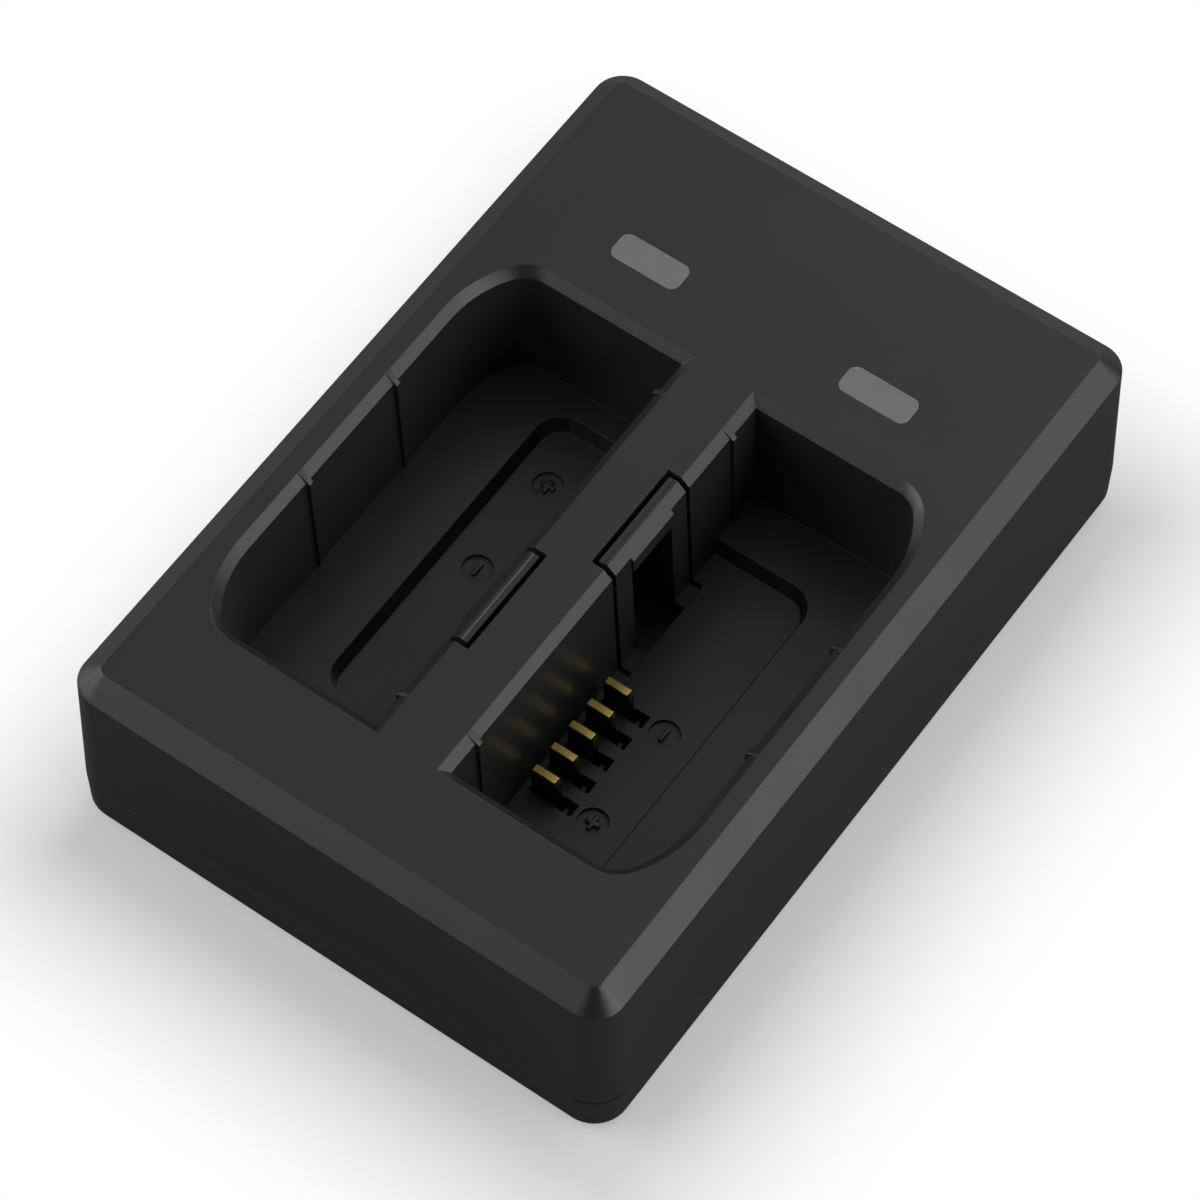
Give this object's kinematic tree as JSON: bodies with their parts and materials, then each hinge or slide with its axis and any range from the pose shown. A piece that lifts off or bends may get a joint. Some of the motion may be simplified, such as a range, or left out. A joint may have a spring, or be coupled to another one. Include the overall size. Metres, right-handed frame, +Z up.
{
  "type": "action camera battery charger",
  "caption": "Low twin-bay charging cradle for slim action camera batteries, with side contacts, snap catches, status windows and a rear power inlet.",
  "frame": {"origin": "on the surface that the feet stand on, under the middle of the housing", "axes": "+Z up out of the bays, +Y along the length towards the status windows and the power inlet, +X to the right-hand bay seen with the windows at the far end"},
  "size_m": [0.0636, 0.091, 0.0238],
  "materials": {
    "housing": "fine moulded grain",
    "gold_plate": "gold plated, satin",
    "insulator": "moulded, satin",
    "light_guide": "milky, smooth",
    "lamp": "smooth",
    "board": "solder mask",
    "chip": "moulded epoxy",
    "ferrite": "pressed powder",
    "plated_steel": "nickel plated",
    "foot_rubber": "matt"
  },
  "bodies": {
    "housing": {"top_shell": "housing", "bottom_cover": "housing", "circuit_board": "board", "inlet_shell": "plated_steel", "inlet_tongue": "insulator", "left_contact_carrier": "insulator", "left_light_guide": "light_guide", "left_status_lamp": "lamp", "left_charge_controller": "chip", "left_inductor": "ferrite", "left_contact_1": "gold_plate", "left_contact_2": "gold_plate", "left_contact_3": "gold_plate", "left_contact_4": "gold_plate", "left_contact_5": "gold_plate", "right_contact_carrier": "insulator", "right_light_guide": "light_guide", "right_status_lamp": "lamp", "right_charge_controller": "chip", "right_inductor": "ferrite", "right_contact_1": "gold_plate", "right_contact_2": "gold_plate", "right_contact_3": "gold_plate", "right_contact_4": "gold_plate", "right_contact_5": "gold_plate", "cover_screw_1": "plated_steel", "rubber_foot_1": "foot_rubber", "cover_screw_2": "plated_steel", "rubber_foot_2": "foot_rubber", "cover_screw_3": "plated_steel", "rubber_foot_3": "foot_rubber", "cover_screw_4": "plated_steel", "rubber_foot_4": "foot_rubber"},
    "left_latch_arm": {"left_latch": "housing"},
    "right_latch_arm": {"right_latch": "housing"}
  },
  "joints": [
    {"name": "left_latch_flex", "type": "hinge", "parent": "housing", "child": "left_latch_arm", "pos_m": [-0.00642, -0.01395, 0.00601], "axis": [0, 1, 0], "range_deg": [0, 1.5], "stiffness_Nm_per_rad": 0.9},
    {"name": "right_latch_flex", "type": "hinge", "parent": "housing", "child": "right_latch_arm", "pos_m": [0.00642, 0.00065, 0.00601], "axis": [0, -1, 0], "range_deg": [0, 1.5], "stiffness_Nm_per_rad": 0.9}
  ]
}
